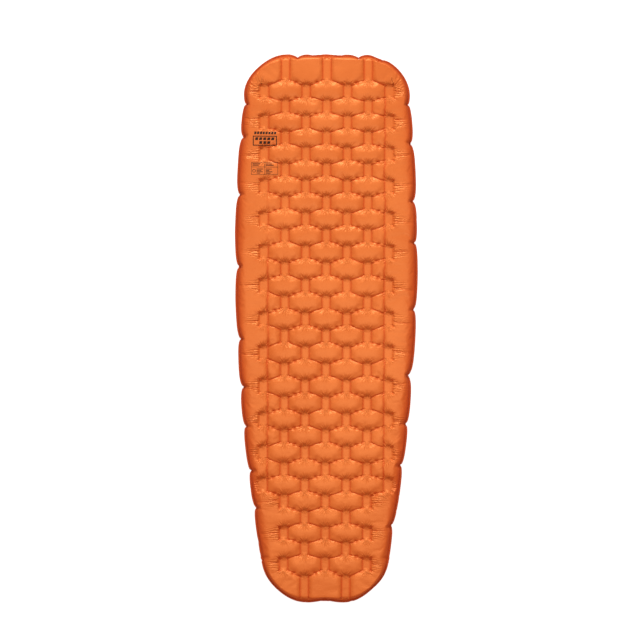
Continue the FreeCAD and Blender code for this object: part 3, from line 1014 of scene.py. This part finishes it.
def maths(tree, operation, *sources):
    made = add_node(tree, "Math", operation=operation)
    for socket, source in zip(made.inputs, sources):
        if isinstance(source, float):
            socket.default_value = source
        else:
            link(source, socket)
    return made.outputs[0]


def bump(tree, height, strength, distance, below=None):
    """Normal with a relief in metres, on top of another one."""
    made = add_node(tree, "Bump", Strength=strength, Distance=distance)
    link(height, made.inputs["Height"])
    if below is not None:
        link(below, made.inputs["Normal"])
    return made.outputs["Normal"]


def roughen(tree, shader, factor, low, high):
    span = add_node(tree, "MapRange")
    put(span, {"To Min": low, "To Max": high})
    link(factor, span.inputs["Value"])
    link(span.outputs["Result"], shader.inputs["Roughness"])


THREAD_PITCH = 0.0009
# Colour of the painted shade in creases and along the rim
PAINTED_SHADE_ORANGE = (0.58, 0.058, 0.010)


def fabric(name, light, mid, dark, roughness):
    """Satin coated weave: fine threads, slight colour drift, soft creasing, and painted shade from the fold
    attribute.
    """
    made, tree, shader = material(name)
    drift = noise(tree, Scale=7.0, Detail=4.0, Roughness=0.55)
    colour = ramp(tree, drift, (0.3, dark), (0.5, mid), (0.72, light))
    place = add_node(tree, "TexCoord")
    split = add_node(tree, "SeparateXYZ")
    link(place.outputs["Object"], split.inputs["Vector"])
    turn_rate = 2 * math.pi / THREAD_PITCH
    warp, weft = (maths(tree, "SINE", maths(tree, "MULTIPLY", split.outputs[axis], turn_rate))
                  for axis in ("X", "Y"))
    weave = maths(tree, "MULTIPLY", warp, weft)
    crease = add_node(tree, "TexNoise", Scale=95.0, Detail=3.0, Roughness=0.6, Distortion=0.6)
    stretch = add_node(tree, "Mapping", Scale=(0.45, 1.0, 1.0))
    link(place.outputs["Object"], stretch.inputs["Vector"])
    link(stretch.outputs["Vector"], crease.inputs["Vector"])
    # Pleats finer than the mesh: their phase and depth come with it.
    phase = add_node(tree, "Attribute", attribute_name="pleat_phase")
    depth = add_node(tree, "Attribute", attribute_name="pleat_depth")
    wander = noise(tree, Scale=70.0, Detail=1.0)
    ripple = maths(tree, "SINE", maths(tree, "MULTIPLY_ADD", wander, 7.0, phase.outputs["Fac"]))
    pleat = maths(tree, "MULTIPLY", ripple, depth.outputs["Fac"])
    normal = bump(tree, crease.outputs["Fac"], 0.35, 0.0016)
    normal = bump(tree, pleat, 1.0, 0.0006, normal)
    normal = bump(tree, weave, 0.25, 0.00008, normal)
    link(normal, shader.inputs["Normal"])
    # Painted shade: the fold attribute mixes the colour towards a deep orange in creases and along the rim.
    fold = add_node(tree, "Attribute", attribute_name="fold")
    painted_shade_mix = add_node(tree, "Mix", data_type="RGBA", blend_type="MIX", B=(*PAINTED_SHADE_ORANGE, 1))
    link(fold.outputs["Fac"], painted_shade_mix.inputs["Factor"])
    link(colour, painted_shade_mix.inputs["A"])
    link(painted_shade_mix.outputs["Result"], shader.inputs["Base Color"])
    roughen(tree, shader, drift, roughness - 0.05, roughness + 0.08)
    put(shader, {"Sheen Weight": 0.04, "Sheen Roughness": 0.5, "Sheen Tint": (1.0, 0.45, 0.2, 1),
                 "IOR": 1.7, "Specular IOR Level": 0.9, "Specular Tint": (1.0, 0.45, 0.17, 1)})
    return made


top_skin.data.materials.append(fabric(
    "orange_weave", (0.79, 0.240, 0.057), (0.74, 0.214, 0.048), (0.70, 0.189, 0.040), 0.4))
low_skin.data.materials.append(fabric(
    "orange_weave_under", (0.78, 0.165, 0.024), (0.73, 0.145, 0.019), (0.69, 0.125, 0.015), 0.5))
# The seam is painted darker and redder than the skins: painted shade at the rim's edge, under the rolled
# cloth.
fin.data.materials.append(fabric(
    "orange_seam_shaded", (0.46, 0.058, 0.011), (0.42, 0.05, 0.009), (0.38, 0.043, 0.008), 0.5))


def plastic(name, colour, roughness, grain=1400.0, strength=0.15):
    """Moulded plastic or rubber with a fine grain and slight wear."""
    made, tree, shader = material(name)
    fine = noise(tree, Scale=grain, Detail=2.0)
    broad = noise(tree, Scale=160.0, Detail=3.0)
    worn = [c * 0.8 for c in colour]
    bright = [min(1, c * 1.25 + 0.01) for c in colour]
    link(ramp(tree, broad, (0.35, worn), (0.7, bright)), shader.inputs["Base Color"])
    roughen(tree, shader, broad, roughness - 0.06, roughness + 0.1)
    link(bump(tree, fine, strength, 0.0001), shader.inputs["Normal"])
    return made


ink, tree, shader = material("ink_black")
worn = noise(tree, Scale=900.0, Detail=3.0)
tones = ramp(tree, worn, (0.35, (0.02, 0.011, 0.008)), (0.8, (0.075, 0.028, 0.014)))
link(tones, shader.inputs["Base Color"])
link(bump(tree, worn, 0.3, 0.0001), shader.inputs["Normal"])
put(shader, {"Roughness": 0.6, "Specular IOR Level": 0.2})
marks.data.materials.append(ink)

finishes = {
    "truss_film": plastic("film", (0.72, 0.74, 0.78), 0.25, 600.0, 0.3),
    "valve_plastic": plastic("valve_grey", (0.035, 0.036, 0.04), 0.45),
    "lid_plastic": plastic("lid_grey", (0.028, 0.029, 0.032), 0.4),
    "cap_plastic": plastic("cap_orange", (0.72, 0.13, 0.02), 0.38),
    "strap_plastic": plastic("strap_grey", (0.04, 0.04, 0.045), 0.55),
    "seal_rubber": plastic("seal_black", (0.012, 0.012, 0.012), 0.6),
    "disc_silicone": plastic("disc_milky", (0.62, 0.62, 0.6), 0.35),
}
slot_of = {part["node"]: part["material_slot"] for part in frame["record"]["subparts"]}
for name, part in frame["nodes"].items():
    finish = finishes.get(slot_of.get(name))
    if finish is not None:
        part.data.materials.clear()
        part.data.materials.append(finish)

# Camera, floor and light ---

scene = bpy.context.scene
camera_data = bpy.data.cameras.new("camera")
camera_data.lens = 200
camera_data.sensor_width = 36
camera_data.clip_end = 100
camera = bpy.data.objects.new("camera", camera_data)
scene.collection.objects.link(camera)
scene.camera = camera
# The pad's top is about 50 mm nearer than the floor, and FRAME_WIDTH is measured there.
FRAME_WIDTH = 2.132
distance = FRAME_WIDTH * camera_data.lens / camera_data.sensor_width
camera.location = (-0.020, 0.028, distance + 0.05)
camera.rotation_euler = (0, 0, math.radians(0.22))

# Floor and wall in one bowl. It shows white, and throws no light back on the object.
BOWL_SIDES = 96
BOWL_FLAT = 30.0
BOWL_BEND = 6.0
BOWL_TOP = 14.0
bowl_profile = [(BOWL_FLAT + BOWL_BEND * math.sin(a), BOWL_BEND - BOWL_BEND * math.cos(a))
                for a in np.linspace(0, math.pi / 2, 9)]
bowl_profile.append((BOWL_FLAT + BOWL_BEND, BOWL_TOP))
bearings = [2 * math.pi * k / BOWL_SIDES for k in range(BOWL_SIDES)]
bowl_points = [(0, 0, 0)]
for r, z in bowl_profile:
    bowl_points += [(r * math.cos(a), r * math.sin(a), z) for a in bearings]
bowl_faces = []
for k in range(BOWL_SIDES):
    n = (k + 1) % BOWL_SIDES
    bowl_faces.append((0, 1 + k, 1 + n))
    for ring in range(len(bowl_profile) - 1):
        a = 1 + ring * BOWL_SIDES
        b = a + BOWL_SIDES
        bowl_faces.append((a + k, b + k, b + n, a + n))
floor_mesh = bpy.data.meshes.new("floor")
floor_mesh.from_pydata(bowl_points, [], bowl_faces)
floor_mesh.shade_smooth()
floor = bpy.data.objects.new("floor", floor_mesh)
floor.location.z = -0.0005
floor.visible_diffuse = False
floor.visible_glossy = False
scene.collection.objects.link(floor)
floor_material, tree, shader = material("floor_white")
put(shader, {"Base Color": (0.4, 0.4, 0.4, 1), "Roughness": 0.9, "Specular IOR Level": 0.0,
             "Emission Color": (1, 1, 1, 1), "Emission Strength": 0.96})
# Seen from below it is clear, so the underside can be looked at.
clear = add_node(tree, "BsdfTransparent")
side = add_node(tree, "NewGeometry")
mix = add_node(tree, "MixShader")
link(side.outputs["Backfacing"], mix.inputs["Fac"])
link(shader.outputs["BSDF"], mix.inputs[1])
link(clear.outputs["BSDF"], mix.inputs[2])
link(mix.outputs["Shader"], tree.nodes["Material Output"].inputs["Surface"])
floor_mesh.materials.append(floor_material)

world = bpy.data.worlds.new("studio")
scene.world = world
world.use_nodes = True
put(world.node_tree.nodes["Background"], {"Color": (1, 0.42, 0.25, 1), "Strength": 0.48})


def area_light(name, place, target, size, power):
    data = bpy.data.lights.new(name, "AREA")
    data.shape = "RECTANGLE"
    data.size, data.size_y = size
    data.energy = power
    lamp = bpy.data.objects.new(name, data)
    lamp.location = place
    lamp.rotation_euler = (Vector(target) - Vector(place)).to_track_quat("-Z", "Y").to_euler()
    scene.collection.objects.link(lamp)
    return lamp


area_light("key", (-0.4, 9.6, 6.6), (0, 0, 0), (2.7, 1.8), 880)
area_light("head", (-0.2, 2.6, 1.25), (0, 0.7, 0), (1.2, 0.6), 9).visible_camera = False
area_light("top", (0.1, -0.25, 2.6), (0.1, -0.25, 0), (1.0, 0.7), 12).visible_camera = False

scene.view_settings.view_transform = "Standard"
